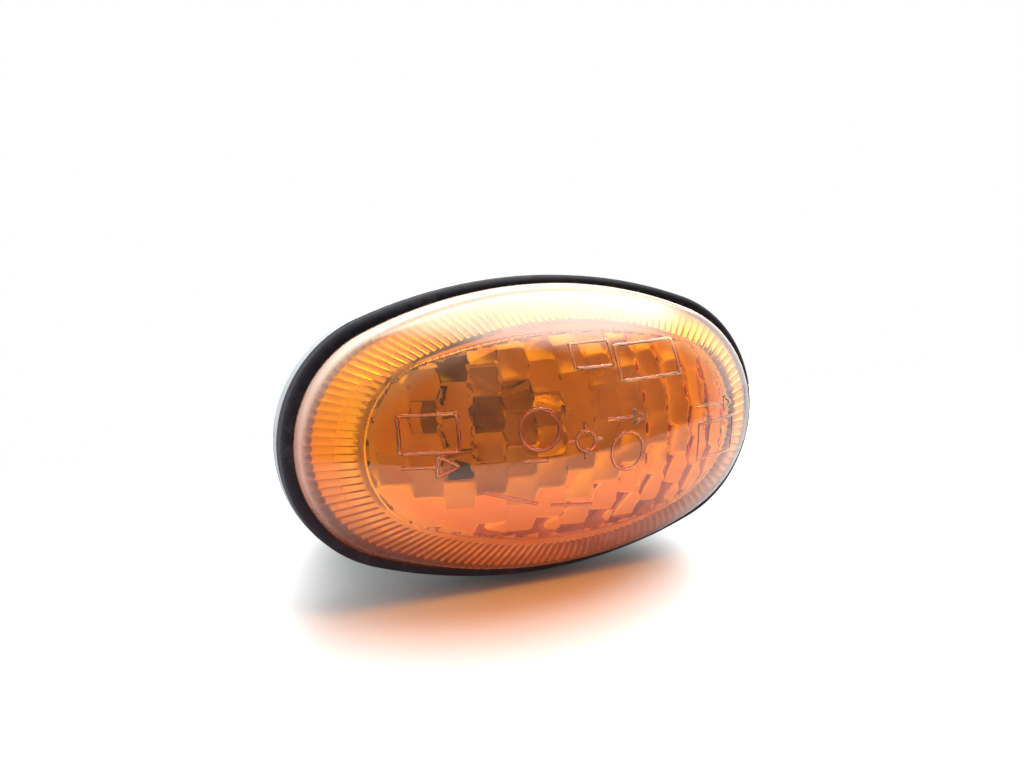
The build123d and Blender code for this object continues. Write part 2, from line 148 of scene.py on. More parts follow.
def grow(name: str, mesh: Mesh, tree: NodeTree, sizes: Mapping[str, Any]) -> Object:
    """Run a Geometry Nodes tree on a mesh and keep the result as a plain piece.

    Args:
        name: Name of the piece.
        mesh: Mesh that the tree starts from.
        tree: Geometry Nodes tree.
        sizes: Values of the tree's named inputs.

    Returns:
        The piece, with no modifier left.
    """
    seed = bpy.data.objects.new(name + "_seed", mesh)
    bpy.context.scene.collection.objects.link(seed)
    modifier = seed.modifiers.new(tree.name, "NODES")
    modifier.node_group = tree
    for item in tree.interface.items_tree:
        if item.in_out == "INPUT" and item.name in sizes:
            modifier[item.identifier] = sizes[item.name]
    seed.update_tag()
    bpy.context.view_layer.update()
    shown = seed.evaluated_get(bpy.context.evaluated_depsgraph_get())
    baked = bpy.data.meshes.new_from_object(shown)
    seed.modifiers.clear()
    bpy.data.objects.remove(seed)
    baked.name = name
    piece = bpy.data.objects.new(name, baked)
    bpy.context.scene.collection.objects.link(piece)
    return piece


def smooth(piece: Object, crease_deg: float) -> None:
    """Shade a piece smooth, with edges above an angle left sharp."""
    piece.data.shade_smooth()
    piece.data.set_sharp_from_angle(angle=math.radians(crease_deg))


def face_out(mesh: Mesh) -> None:
    """Turn every face of a closed mesh outward.

    Args:
        mesh: Mesh to mend in place.
    """
    work = bmesh.new()
    work.from_mesh(mesh)
    bmesh.ops.recalc_face_normals(work, faces=work.faces)
    work.to_mesh(mesh)
    work.free()


def path_mesh(name: str, paths: Sequence[np.ndarray], closed: Sequence[bool]) -> Mesh:
    """Make a mesh of loose lines.

    Args:
        name: Name of the mesh.
        paths: Points of each line, in millimetres.
        closed: Whether each line joins its own start.

    Returns:
        Mesh with edges only, in metres.
    """
    points: list[np.ndarray] = []
    edges: list[tuple[int, int]] = []
    for line, loop in zip(paths, closed):
        first, count = len(points), len(line)
        points.extend(np.asarray(line) * MM)
        edges += [(first + i, first + i + 1) for i in range(count - 1)]
        if loop:
            edges.append((first + count - 1, first))
    mesh = bpy.data.meshes.new(name)
    mesh.from_pydata([tuple(p) for p in points], edges, [])
    mesh.update()
    return mesh


@dataclass(frozen=True)
class Oval:
    """Four-arc oval about the lamp's axis, in millimetres."""

    half_length: float
    half_height: float
    end_radius: float

    @property
    def run(self) -> float:
        """Distance of an end arc's centre from the middle."""
        return self.half_length - self.end_radius

    @property
    def side_radius(self) -> float:
        """Radius of the long side arcs."""
        square = self.run**2 + self.half_height**2 - self.end_radius**2
        return square / (2 * (self.half_height - self.end_radius))

    @property
    def end_angle(self) -> float:
        """Half angle that an end arc covers."""
        return math.atan2(self.side_radius - self.half_height, self.run)

    def inset(self, by: float) -> "Oval":
        """The oval drawn in all round."""
        return Oval(self.half_length - by, self.half_height - by, self.end_radius - by)

    def outline(self, count: int) -> np.ndarray:
        """Points at equal steps along the oval.

        Args:
            count: Number of points; the first is at the +X end.

        Returns:
            Array of (x, z) pairs, anticlockwise seen from the front.
        """
        turn, end, side = self.end_angle, self.end_radius, self.side_radius
        short, long = turn * end, (math.pi - 2 * turn) * side
        along = np.arange(count) / count * (4 * short + 2 * long)
        drop = side - self.half_height
        first = along / end
        top = turn + (along - short) / side
        left = math.pi - turn + (along - short - long) / end
        under = math.pi + turn + (along - 3 * short - long) / side
        last = -turn + (along - 3 * short - 2 * long) / end
        marks = [along < short, along < short + long, along < 3 * short + long, along < 3 * short + 2 * long]
        x = np.select(
            marks,
            [self.run + end * np.cos(first), side * np.cos(top), end * np.cos(left) - self.run, side * np.cos(under)],
            self.run + end * np.cos(last),
        )
        z = np.select(
            marks,
            [end * np.sin(first), side * np.sin(top) - drop, end * np.sin(left), side * np.sin(under) + drop],
            end * np.sin(last),
        )
        return np.stack([x, z], 1)

    def share(self, x: np.ndarray, z: np.ndarray) -> np.ndarray:
        """How far a point lies from the middle towards the oval, 1 on the oval itself."""
        reach = np.maximum(np.hypot(x, z), 1e-9)
        ux, uz = np.abs(x) / reach, np.abs(z) / reach
        drop = self.side_radius - self.half_height
        by_end = ux * self.run + np.sqrt(np.maximum((ux * self.run) ** 2 - self.run**2 + self.end_radius**2, 0))
        by_side = -uz * drop + np.sqrt((uz * drop) ** 2 - drop**2 + self.side_radius**2)
        touch_x = self.side_radius * math.cos(self.end_angle)
        touch_z = self.end_radius * math.sin(self.end_angle)
        return reach / np.where(uz * touch_x < ux * touch_z, by_end, by_side)

    def depth(self, x: np.ndarray, z: np.ndarray) -> np.ndarray:
        """How far a point lies inside the oval, along the nearest normal."""
        x, z = np.abs(x), np.abs(z)
        drop = self.side_radius - self.half_height
        at_end = (x > self.run) & (np.arctan2(z, x - self.run) < self.end_angle)
        return np.where(
            at_end, self.end_radius - np.hypot(x - self.run, z), self.side_radius - np.hypot(x, z + drop)
        )


LAMP = Oval(36.0, 20.6, 17.3)


@dataclass(frozen=True)
class Dome:
    """Outer form of the lens: a steep wall under a crown curved both ways, heights from the flange's back."""

    foot: Oval = Oval(34.5, 19.5, 15.8)
    joint: float = 5.4
    proud: float = 19.18
    draft_deg: float = 12.5
    crown_long: float = 54.6
    crown_cross: float = 22.4
    shoulder_blend: float = 1.6

    def height(self, x: np.ndarray, z: np.ndarray) -> np.ndarray:
        """Height of the dome over flat points.

        Args:
            x: Places along the lamp.
            z: Places up the lamp.

        Returns:
            Heights in millimetres, with the shoulder rounded.
        """
        wall = self.joint + np.maximum(self.foot.depth(x, z), 0) / math.tan(math.radians(self.draft_deg))
        reach = self.crown_long - self.crown_cross + np.sqrt(np.maximum(self.crown_cross**2 - z**2, 0))
        crown = self.proud - self.crown_long + np.sqrt(np.maximum(reach**2 - x**2, 0))
        near = np.maximum(1 - np.abs(wall - crown) / self.shoulder_blend, 0)
        return np.maximum(np.minimum(wall, crown) - self.shoulder_blend / 4 * near**2, self.joint)

    def seat(self, flat: np.ndarray, lift: float) -> tuple[np.ndarray, np.ndarray]:
        """Put flat points on the dome.

        Args:
            flat: (x, z) pairs.
            lift: How far the points stand off the surface.

        Returns:
            (x, y, z) points in the lamp's frame, and the dome's normals there.
        """
        x, z = flat[:, 0], flat[:, 1]
        step = 0.01
        high = self.height(x, z)
        by_x = (self.height(x + step, z) - self.height(x - step, z)) / (2 * step)
        by_z = (self.height(x, z + step) - self.height(x, z - step)) / (2 * step)
        normal = np.stack([-by_x, -np.ones_like(x), -by_z], 1)
        normal /= np.linalg.norm(normal, axis=1, keepdims=True)
        return np.stack([x, -high, z], 1) + normal * lift, normal


@dataclass(frozen=True)
class AmberPmma:
    """Amber acrylic, moulded and polished: clear, glossy, deep orange in the pocket, filmed with dirt and a painted
    pale veil at its foot, darkened by painted shade on its lower part, with a painted sheen on its upper wall.
    """

    name: str = "amber_pmma_moulded"
    tint: str = "#fff4e6"
    film: str = "#fbe9d2"
    film_mm: float = 9.0
    film_range: Pair = (0.42, 0.72)
    gloss: Pair = (0.015, 0.05)
    clear: Pair = (0.995, 0.965)
    ior: float = 1.49
    deep: str = "#ffcfa4"
    deep_half: Pair = (27.4, 13.8)
    deep_edge: Pair = (0.92, 1.02)
    absorb: Colour = (0.994, 0.915, 0.0, 1.0)
    density: float = 1300.0
    shadow_tint: Colour = (1.0, 0.97, 0.36, 1.0)
    # Foot film: road dirt in the joint, and a painted pale veil that stands in for the reflection lightening the
    # skirt.
    dirt_and_painted_light: str = "#dcae9b"
    foot_dirt_and_veil_share: float = 0.48
    foot_dirt_and_veil_mm: Pair = (6.9, 8.3)
    # Painted sheen: a pale haze painted on the upper wall outside the pocket, standing in for the reflected light
    # from above.
    painted_sheen: str = "#f1ddc8"
    painted_sheen_share: float = 0.07
    painted_sheen_mm: Pair = (2.0, 14.0)
    # Painted shade: a brown film that darkens the lower part of the lens.
    painted_shade: str = "#8a4632"
    painted_shade_share: float = 0.34
    painted_shade_mm: Pair = (3.0, 12.0)

    def material(self) -> Material:
        """Build the material.

        Returns:
            Clear moulded acrylic with a faint handled film and absorption inside.
        """
        made, node, place = new_material(self.name)
        cloud = node("ShaderNodeTexNoise", {"Vector": place, "Scale": 1 / (self.film_mm * MM), "Detail": 4.0})
        low, high = self.film_range
        film = node("ShaderNodeMapRange", {0: cloud, 1: low, 2: high})
        colour = node("ShaderNodeMix", {0: film, 6: srgb(self.tint), 7: srgb(self.film)}, **RGBA)
        inward = (1 / (self.deep_half[0] * MM), 0.0, 1 / (self.deep_half[1] * MM))
        scaled = node("ShaderNodeMapping", {"Vector": place, "Scale": inward})
        out = node("ShaderNodeVectorMath", {0: scaled}, out="Value", operation="LENGTH")
        low, high = self.deep_edge
        pocket = node("ShaderNodeMapRange", {0: out, 1: low, 2: high, 3: 1.0, 4: 0.0})
        colour = node("ShaderNodeMix", {0: pocket, 6: colour, 7: srgb(self.deep)}, **RGBA)
        gloss = node("ShaderNodeMapRange", {0: film, 3: self.gloss[0], 4: self.gloss[1]})
        clear = node("ShaderNodeMapRange", {0: film, 3: self.clear[0], 4: self.clear[1]})
        skin = {"Base Color": colour, "Roughness": gloss, "IOR": self.ior, "Transmission Weight": clear}
        body = node("ShaderNodeBsdfPrincipled", skin)
        proud = node("ShaderNodeSeparateXYZ", {0: place}, out=1)
        height = proud.node.outputs[2]
        # Mask of the foot film of dirt and painted veil: full up to 6.9 mm proud, gone by 8.3 mm.
        low, high = self.foot_dirt_and_veil_mm
        near = node("ShaderNodeMapRange", {0: proud, 1: -high * MM, 2: -low * MM, 4: self.foot_dirt_and_veil_share})
        # Height mask of the painted sheen on the upper wall, rising from 2 mm to 14 mm above the axis.
        low, high = self.painted_sheen_mm
        upper = node("ShaderNodeMapRange", {0: height, 1: low * MM, 2: high * MM})
        # Mask of the painted shade, growing from 3 mm below the axis to 12 mm below it.
        low, high = self.painted_shade_mm
        under = node("ShaderNodeMapRange", {0: height, 1: -low * MM, 2: -high * MM, 4: self.painted_shade_share})
        # One weight for the diffuse film: foot dirt with painted veil, painted shade below, painted sheen above.
        near = node("ShaderNodeMath", {0: near, 1: under}, operation="MAXIMUM")
        ring = node("ShaderNodeMapRange", {0: pocket, 3: self.painted_sheen_share, 4: 0.0})
        painted_sheen_mask = node("ShaderNodeMath", {0: upper, 1: ring}, operation="MULTIPLY")
        near = node("ShaderNodeMath", {0: near, 1: painted_sheen_mask}, operation="MAXIMUM")
        painted_shade_blend = node("ShaderNodeMapRange", {0: under, 1: 0.0, 2: self.painted_shade_share})
        # Colour of the diffuse film: dirt and painted veil at the foot, painted shade below, painted sheen above.
        veil_and_shade_colour = node("ShaderNodeMix", {0: painted_shade_blend, 6: srgb(self.dirt_and_painted_light), 7: srgb(self.painted_shade)}, **RGBA)
        dirt_and_painted_light_colour = node("ShaderNodeMix", {0: upper, 6: veil_and_shade_colour, 7: srgb(self.painted_sheen)}, **RGBA)
        dirt_and_painted_light = node("ShaderNodeBsdfDiffuse", {"Color": dirt_and_painted_light_colour})
        body = node("ShaderNodeMixShader", {0: near, 1: body, 2: dirt_and_painted_light})
        inside = node("ShaderNodeVolumeAbsorption", {"Color": self.absorb, "Density": self.density})
        shadow = node("ShaderNodeLightPath", out="Is Shadow Ray")
        through = node("ShaderNodeBsdfTransparent", {"Color": self.shadow_tint})
        shown = node("ShaderNodeMixShader", {0: shadow, 1: body, 2: through})
        node("ShaderNodeOutputMaterial", {"Surface": shown, "Volume": inside})
        return made


@dataclass(frozen=True)
class MattPolymer:
    """Moulded rubber or plastic with a mottled skin, fine grain and a dusty film."""

    name: str
    base: str
    mottle: str
    dust: str
    dust_share: float
    rough: float
    ior: float
    mottle_mm: float
    grain_mm: float
    grain_depth_mm: float
    shine: float = 0.5
    # Colour that the upper side is painted towards, as painted shade, where it has one.
    painted_top_shade: str | None = None
    painted_top_shade_mm: Pair = (-2.0, 16.0)
    painted_top_shade_share: float = 0.85
    # Whiter colour of faces turned into the lamp: the housing's own white lining, and on the holder painted light.
    inner: str | None = None
    inner_turn: Pair = (-0.5, -0.2)
    inner_to_mm: float = 100.0
    speck: str | None = None
    speck_mm: float = 2.2
    speck_radius: Pair = (0.1, 0.15)
    speck_band_mm: Pair = (0.0, 0.9)
    speck_from_mm: float = 0.1
    powder_range: Pair = (0.5, 0.8)
    rough_range: Pair = (0.3, 0.8)
    rough_gain: float = 0.2
    relief: float = 0.6

    def material(self) -> Material:
        """Build the material.

        Returns:
            Matt opaque material with mottling, dust and grain, and specks along the back edge where it has them.
        """
        made, node, place = new_material(self.name)
        patch = node("ShaderNodeTexNoise", {"Vector": place, "Scale": 1 / (self.mottle_mm * MM), "Detail": 5.0})
        colour = node("ShaderNodeMix", {0: patch, 6: srgb(self.base), 7: srgb(self.mottle)}, **RGBA)
        grit = {"Vector": place, "Scale": 3 / (self.mottle_mm * MM), "Detail": 8.0, "Roughness": 0.7}
        powder = node("ShaderNodeTexNoise", grit)
        low, high = self.powder_range
        dusty = node("ShaderNodeMapRange", {0: powder, 1: low, 2: high, 4: self.dust_share})
        colour = node("ShaderNodeMix", {0: dusty, 6: colour, 7: srgb(self.dust)}, **RGBA)
        # Painted shade: blend towards a darker colour with height, against the stronger light on the upper side.
        if self.painted_top_shade:
            height = node("ShaderNodeSeparateXYZ", {0: place}, out=2)
            low, high = self.painted_top_shade_mm
            top_shade_mask = node("ShaderNodeMapRange", {0: height, 1: low * MM, 2: high * MM, 4: self.painted_top_shade_share})
            colour = node("ShaderNodeMix", {0: top_shade_mask, 6: colour, 7: srgb(self.painted_top_shade)}, **RGBA)
        # Faces turned into the lamp, in front of inner_to_mm, take the whiter colour: the housing's real lining, and
        # on the holder painted light brightening it in the lamp's shade.
        if self.inner:
            flat = node("ShaderNodeVectorMath", {0: place, 1: (1.0, 0.0, 1.0)}, operation="MULTIPLY")
            outward = node("ShaderNodeVectorMath", {0: flat}, operation="NORMALIZE")
            rearward = node("ShaderNodeVectorMath", {0: outward, 1: (0.0, 1.0, 0.0)}, operation="ADD")
            facing = node("ShaderNodeTexCoord", out="Normal")
            turned = node("ShaderNodeVectorMath", {0: facing, 1: rearward}, out="Value", operation="DOT_PRODUCT")
            low, high = self.inner_turn
            within = node("ShaderNodeMapRange", {0: turned, 1: low, 2: high, 3: 1.0, 4: 0.0})
            depth = node("ShaderNodeSeparateXYZ", {0: place}, out=1)
            fore = node("ShaderNodeMath", {0: depth, 1: self.inner_to_mm * MM}, operation="LESS_THAN")
            within = node("ShaderNodeMath", {0: within, 1: fore}, operation="MULTIPLY")
            colour = node("ShaderNodeMix", {0: within, 6: colour, 7: srgb(self.inner)}, **RGBA)
        if self.speck:
            cell = node("ShaderNodeTexVoronoi", {"Vector": place, "Scale": 1 / (self.speck_mm * MM)}, out="Distance")
            low, high = self.speck_radius
            dot = node("ShaderNodeMapRange", {0: cell, 1: low, 2: high, 3: 1.0, 4: 0.0})
            depth = node("ShaderNodeSeparateXYZ", {0: place}, out=1)
            low, high = self.speck_band_mm
            near = node("ShaderNodeMapRange", {0: depth, 1: -high * MM, 2: -low * MM})
            behind = node("ShaderNodeMath", {0: depth, 1: -self.speck_from_mm * MM}, operation="LESS_THAN")
            along = node("ShaderNodeMath", {0: near, 1: behind}, operation="MULTIPLY")
            marked = node("ShaderNodeMath", {0: dot, 1: along}, operation="MULTIPLY")
            colour = node("ShaderNodeMix", {0: marked, 6: colour, 7: srgb(self.speck)}, **RGBA)
        grain = node("ShaderNodeTexNoise", {"Vector": place, "Scale": 1 / (self.grain_mm * MM), "Detail": 3.0})
        bump = {"Height": grain, "Strength": self.relief, "Distance": self.grain_depth_mm * MM}
        relief = node("ShaderNodeBump", bump)
        low, high = self.rough_range
        dullest = min(self.rough + self.rough_gain, 1)
        rough = node("ShaderNodeMapRange", {0: powder, 1: low, 2: high, 3: self.rough, 4: dullest})
        skin = {"Base Color": colour, "Roughness": rough, "IOR": self.ior, "Normal": relief}
        body = node("ShaderNodeBsdfPrincipled", skin | {"Specular IOR Level": self.shine})
        node("ShaderNodeOutputMaterial", {"Surface": body})
        return made


@dataclass(frozen=True)
class DullMetal:
    """Drawn or stamped metal with fine draw lines and a dulled skin."""

    name: str
    bright: str
    dull: str
    rough: float
    line_mm: float
    draw: Triple = (1.0, 0.12, 1.0)
    streak_range: Pair = (0.3, 0.7)
    rough_gain: float = 0.2

    def material(self) -> Material:
        """Build the material.

        Returns:
            Metal with streaks along the lamp's depth and patchy gloss.
        """
        made, node, place = new_material(self.name)
        drawn = node("ShaderNodeMapping", {"Vector": place, "Scale": self.draw})
        streak = node("ShaderNodeTexNoise", {"Vector": drawn, "Scale": 1 / (self.line_mm * MM), "Detail": 4.0})
        colour = node("ShaderNodeMix", {0: streak, 6: srgb(self.bright), 7: srgb(self.dull)}, **RGBA)
        low, high = self.streak_range
        dullest = self.rough + self.rough_gain
        rough = node("ShaderNodeMapRange", {0: streak, 1: low, 2: high, 3: self.rough, 4: dullest})
        body = node("ShaderNodeBsdfPrincipled", {"Base Color": colour, "Roughness": rough, "Metallic": 1.0})
        node("ShaderNodeOutputMaterial", {"Surface": body})
        return made


@dataclass(frozen=True)
class BulbGlass:
    """Soda-lime bulb glass, blown and pinched: clear, with a faint smoky film."""

    name: str = "bulb_soda_glass"
    clear: str = "#ffffff"
    film: str = "#d9d4cc"
    cloud_scale: float = 220.0
    gloss: float = 0.02
    ior: float = 1.52

    def material(self) -> Material:
        """Build the material.

        Returns:
            Clear glass with a patchy film.
        """
        made, node, place = new_material(self.name)
        cloud = node("ShaderNodeTexNoise", {"Vector": place, "Scale": self.cloud_scale, "Detail": 3.0})
        colour = node("ShaderNodeMix", {0: cloud, 6: srgb(self.clear), 7: srgb(self.film)}, **RGBA)
        skin = {"Base Color": colour, "Roughness": self.gloss, "IOR": self.ior, "Transmission Weight": 1.0}
        body = node("ShaderNodeBsdfPrincipled", skin)
        shadow = node("ShaderNodeLightPath", out="Is Shadow Ray")
        through = node("ShaderNodeBsdfTransparent", {"Color": srgb(self.film)})
        shown = node("ShaderNodeMixShader", {0: shadow, 1: body, 2: through})
        node("ShaderNodeOutputMaterial", {"Surface": shown})
        return made


# Raised strokes: the same amber acrylic, but so thin that it stays clear.
RAISED_PMMA = AmberPmma("amber_pmma_raised", deep="#ffeede")
# Moulded EPDM: matt, nearly black with a purple-grey cast, greyed by dust, with painted shade darkening its upper
# side.
RUBBER = MattPolymer(
    "epdm_rubber_moulded", base="#211c23", mottle="#2a252d", dust="#6f686f", dust_share=0.25, rough=0.6, ior=1.5,
    mottle_mm=6.0, grain_mm=0.25, grain_depth_mm=0.01, shine=0.08, painted_top_shade="#050407",
)
# Grey moulded ABS, white-lacquered inside to throw light forward, specked with dirt along its back edge.
HOUSING_ABS = MattPolymer(
    "grey_abs_moulded", base="#727a7e", mottle="#6a7175", dust="#8f8b85", dust_share=0.2, rough=0.4, ior=1.53,
    mottle_mm=12.0, grain_mm=0.3, grain_depth_mm=0.006, inner="#f9fafa", speck="#3a332d",
)
# Grey PBT bulb holder: hard satin plastic, its face in the lamp painted white like the housing's inside: painted
# light that brightens it where it sits in the lamp's shade.
HOLDER_PBT = MattPolymer(
    "grey_pbt_moulded", base="#8c918f", mottle="#838886", dust="#96928c", dust_share=0.2, rough=0.42, ior=1.55,
    mottle_mm=8.0, grain_mm=0.3, grain_depth_mm=0.006, inner="#eef0ee", inner_to_mm=18.0,
)
# Seal under the holder: the same rubber, cleaner.
SEAL_RUBBER = MattPolymer(
    "seal_rubber_moulded", base="#1f1e20", mottle="#2a292b", dust="#5c5857", dust_share=0.15, rough=0.6, ior=1.5,
    mottle_mm=5.0, grain_mm=0.25, grain_depth_mm=0.008,
)
# Road dirt in the joint: dry brown-black crumbs.
DIRT = MattPolymer(
    "road_dirt_crumbs", base="#2c2420", mottle="#4a3c33", dust="#7c6c5e", dust_share=0.5, rough=0.9, ior=1.45,
    mottle_mm=1.2, grain_mm=0.15, grain_depth_mm=0.02,
)
# Blued spring strip: dull straw-grey steel with draw lines.
CLIP_STEEL = DullMetal("spring_steel_strip", bright="#b4b0a8", dull="#8d8982", rough=0.32, line_mm=0.25)
# Coiled tungsten: dark grey, dull.
TUNGSTEN = DullMetal("tungsten_wire", bright="#6f6d70", dull="#57565a", rough=0.45, line_mm=0.1)
# Nickel-iron lead wire: bright grey.
LEAD = DullMetal("nickel_lead_wire", bright="#c2bfb8", dull="#a19e98", rough=0.3, line_mm=0.15)
# Stamped contact brass: yellow, slightly tarnished.
BRASS = DullMetal("contact_brass_strip", bright="#c9a763", dull="#9c7d45", rough=0.3, line_mm=0.25)


OPTIC_SIZES = ("Flute depth", "Pillow pitch", "Pillow radius", "Pillow rise")
# Name, operation and inputs of each step from a point's place on the inner side to the pillow and the flute there.
OPTIC_STEPS = (
    ("place", "DIVIDE", "across", "Pillow pitch"),
    ("column", "ROUND", "place"),
    ("off", "SUBTRACT", "place", "column"),
    ("du", "MULTIPLY", "off", "Pillow pitch"),
    ("odd", "FLOORED_MODULO", "column", 2.0),
    ("half", "MULTIPLY", "odd", 0.5),
    ("level", "DIVIDE", "up", "Pillow pitch"),
    ("shifted", "ADD", "level", "half"),
    ("part", "FRACT", "shifted"),
    ("away", "SUBTRACT", "part", 0.5),
    ("dv", "MULTIPLY", "away", "Pillow pitch"),
    ("du2", "MULTIPLY", "du", "du"),
    ("sum2", "MULTIPLY_ADD", "dv", "dv", "du2"),
    ("ball2", "MULTIPLY", "Pillow radius", "Pillow radius"),
    ("left2", "SUBTRACT", "ball2", "sum2"),
    ("cap", "SQRT", "left2"),
    ("sunk", "SUBTRACT", "cap", "Pillow radius"),
    ("raised", "ADD", "sunk", "Pillow rise"),
    ("pillow", "MAXIMUM", "raised", 0.0),
    ("inner", "MULTIPLY", "pillow", "pillowed"),
    ("share", "FRACT", "flute_turn"),
    ("rest", "SUBTRACT", 1.0, "share"),
    ("hump", "MULTIPLY", "share", "rest"),
    ("crown", "MULTIPLY", "hump", 4.0),
    ("rib", "MULTIPLY", "crown", "fluted"),
    ("inward", "MULTIPLY", "rib", "Flute depth"),
    ("back", "MULTIPLY", "inward", -1.0),
)


@dataclass
class Lens:
    """Amber lens: smooth dome outside, radial flutes and a pillow optic inside, moulded as one piece."""

    dome: Dome = field(default_factory=Dome)
    finish: AmberPmma = field(default_factory=AmberPmma)
    back: float = 2.6
    foot_top: float = 3.8
    foot_inset: float = 0.8
    mouth_inset: float = 3.4
    bend_inset: float = 3.9
    bend_proud: float = 5.4
    flute_end: Pair = (27.4, 13.8)
    flute_end_proud: float = 9.0
    flutes: int = 144
    flute_depth: float = 0.35
    border: float = 1.1
    crown_thick: float = 2.4
    pillow_pitch: float = 4.0
    pillow_radius: float = 9.0
    pillow_rise: float = 0.46
    around: int = 288
    dome_rings: int = 72
    ring_crowding: float = 1.8
    per_flute: int = 6
    mouth_rows: int = 4
    flute_rows: int = 18
    grid_per_pillow: int = 12
    grid_margin: float = 1.25
    grid_share: float = 0.985
    grid_tilt: float = 1.5
    crease_deg: float = 32.0

    def pocket_oval(self) -> Oval:
        """Oval of the optic pocket."""
        half_height = self.flute_end[1] - self.border
        return Oval(self.flute_end[0] - self.border, half_height, half_height * LAMP.end_radius / LAMP.half_height)

    @property
    def pocket_long(self) -> float:
        """Radius of the pocket's roof along the lamp."""
        return self.dome.crown_long - self.crown_thick

    @property
    def pocket_cross(self) -> float:
        """Radius of the pocket's roof across the lamp."""
        return self.dome.crown_cross - self.crown_thick

    def pocket_height(self, x: np.ndarray, z: np.ndarray) -> np.ndarray:
        """Height of the pocket's smooth roof, before its pillows."""
        reach = self.pocket_long - self.pocket_cross + np.sqrt(self.pocket_cross**2 - z**2)
        return self.dome.proud - self.dome.crown_long + np.sqrt(reach**2 - x**2)

    def pocket_field(self) -> tuple[np.ndarray, np.ndarray]:
        """Points over the pocket's roof in line with the pillows.

        Returns:
            Flat (x, z) points inside the pocket, and their distances (u, v) along the roof.
        """
        oval, step = self.pocket_oval(), self.pillow_pitch / self.grid_per_pillow
        across = int(self.grid_margin * oval.half_length / step)
        tall = int(self.grid_margin * oval.half_height / step)
        u, v = np.meshgrid(np.arange(-across, across + 1) * step, np.arange(-tall, tall + 1) * step)
        u, v = u.ravel(), v.ravel()
        tilt = v / self.pocket_cross
        reach = self.pocket_long - self.pocket_cross * (1 - np.cos(tilt))
        flat = np.stack([reach * np.sin(u / self.pocket_long), self.pocket_cross * np.sin(tilt)], 1)
        inside = (np.abs(tilt) < self.grid_tilt) & (oval.share(flat[:, 0], flat[:, 1]) < self.grid_share)
        return flat[inside], np.stack([u, v], 1)[inside]

    def seed_mesh(self) -> Mesh:
        """Build the closed smooth lens with the measures that the optic tree reads.

        Returns:
            Mesh in metres, with the flute and pillow measures as attributes.
        """
        points: list[Triple] = []
        faces: list[tuple[int, ...]] = []
        turn: list[float] = []
        fluted: list[float] = []
        cell: list[Pair] = []
        pillowed: list[float] = []

        def put(flat: np.ndarray, high: Any, flute: float = 0.0, optic: np.ndarray | None = None) -> list[int]:
            """Add a ring or field of points and return their numbers."""
            first = len(points)
            heights = np.broadcast_to(np.asarray(high, float), (len(flat),))
            for i, ((x, z), h) in enumerate(zip(flat, heights)):
                points.append((x * MM, -h * MM, z * MM))
                turn.append(i / self.per_flute)
                fluted.append(flute)
                u, v = (x, z) if optic is None else optic[i]
                cell.append((u * MM, v * MM))
                pillowed.append(0.0 if optic is None else 1.0)
            return list(range(first, first + len(flat)))

        def band(a: list[int], b: list[int]) -> None:
            """Join two rings; the first may have a whole number of times the other's points."""
            times = len(a) // len(b)
            for j in range(len(b)):
                near = [a[(j * times + k) % len(a)] for k in range(times + 1)]
                faces.append((*near, b[(j + 1) % len(b)], b[j]))

        foot = self.dome.foot.outline(self.around)
        rings = []
        for k in range(self.dome_rings):
            flat = foot * (1 - (k / self.dome_rings) ** self.ring_crowding)
            rings.append(put(flat, self.dome.height(flat[:, 0], flat[:, 1]) if k else self.dome.joint))
        tip = put(np.zeros((1, 2)), self.dome.proud)[0]
        for a, b in zip(rings, rings[1:]):
            band(a, b)
        faces += [(rings[-1][j], rings[-1][(j + 1) % self.around], tip) for j in range(self.around)]
        wall = put(foot, self.foot_top)
        shelf = put(LAMP.inset(self.foot_inset).outline(self.around), self.foot_top)
        sole = put(LAMP.inset(self.foot_inset).outline(self.around), self.back)
        for a, b in ((wall, rings[0]), (shelf, wall), (sole, shelf)):
            band(a, b)

        mouth = LAMP.inset(self.mouth_inset)
        path = mouth.outline(self.flutes * self.per_flute)
        draw = self.bend_inset - self.mouth_inset
        bend = (mouth.half_length - draw, mouth.half_height - draw)
        steps = [
            (self.back, (mouth.half_length, mouth.half_height), self.mouth_rows),
            (self.bend_proud, bend, self.flute_rows),
            (self.flute_end_proud, self.flute_end, 0),
        ]
        levels = []
        for (low, near, count), (high, far, _) in zip(steps, steps[1:]):
            for k in range(count):
                t = k / count
                half_length, half_height = (a + (b - a) * t for a, b in zip(near, far))
                levels.append((low + (high - low) * t, half_length, half_height))
        levels.append((self.flute_end_proud, *self.flute_end))
        inner = []
        for high, half_length, half_height in levels:
            flat = path * (half_length / mouth.half_length, half_height / mouth.half_height)
            inner.append(put(flat, high, flute=1.0))
        band(inner[0], sole)
        for a, b in zip(inner, inner[1:]):
            band(a, b)

        rim_flat = self.pocket_oval().outline(self.around)
        rim = put(rim_flat, self.flute_end_proud)
        band(inner[-1], rim)
        top_rim = put(rim_flat, self.pocket_height(rim_flat[:, 0], rim_flat[:, 1]))
        band(rim, top_rim)

        flat, optic = self.pocket_field()
        both = [Vector(p) for p in np.concatenate([rim_flat, flat])]
        loop = [(i, (i + 1) % self.around) for i in range(self.around)]
        _, _, tris, origin, _, _ = delaunay_2d_cdt(both, loop, [], 1, 1e-6)
        field_ids = put(flat, self.pocket_height(flat[:, 0], flat[:, 1]), optic=optic)
        known = top_rim + field_ids
        faces += [tuple(known[origin[i][0]] for i in tri) for tri in tris]

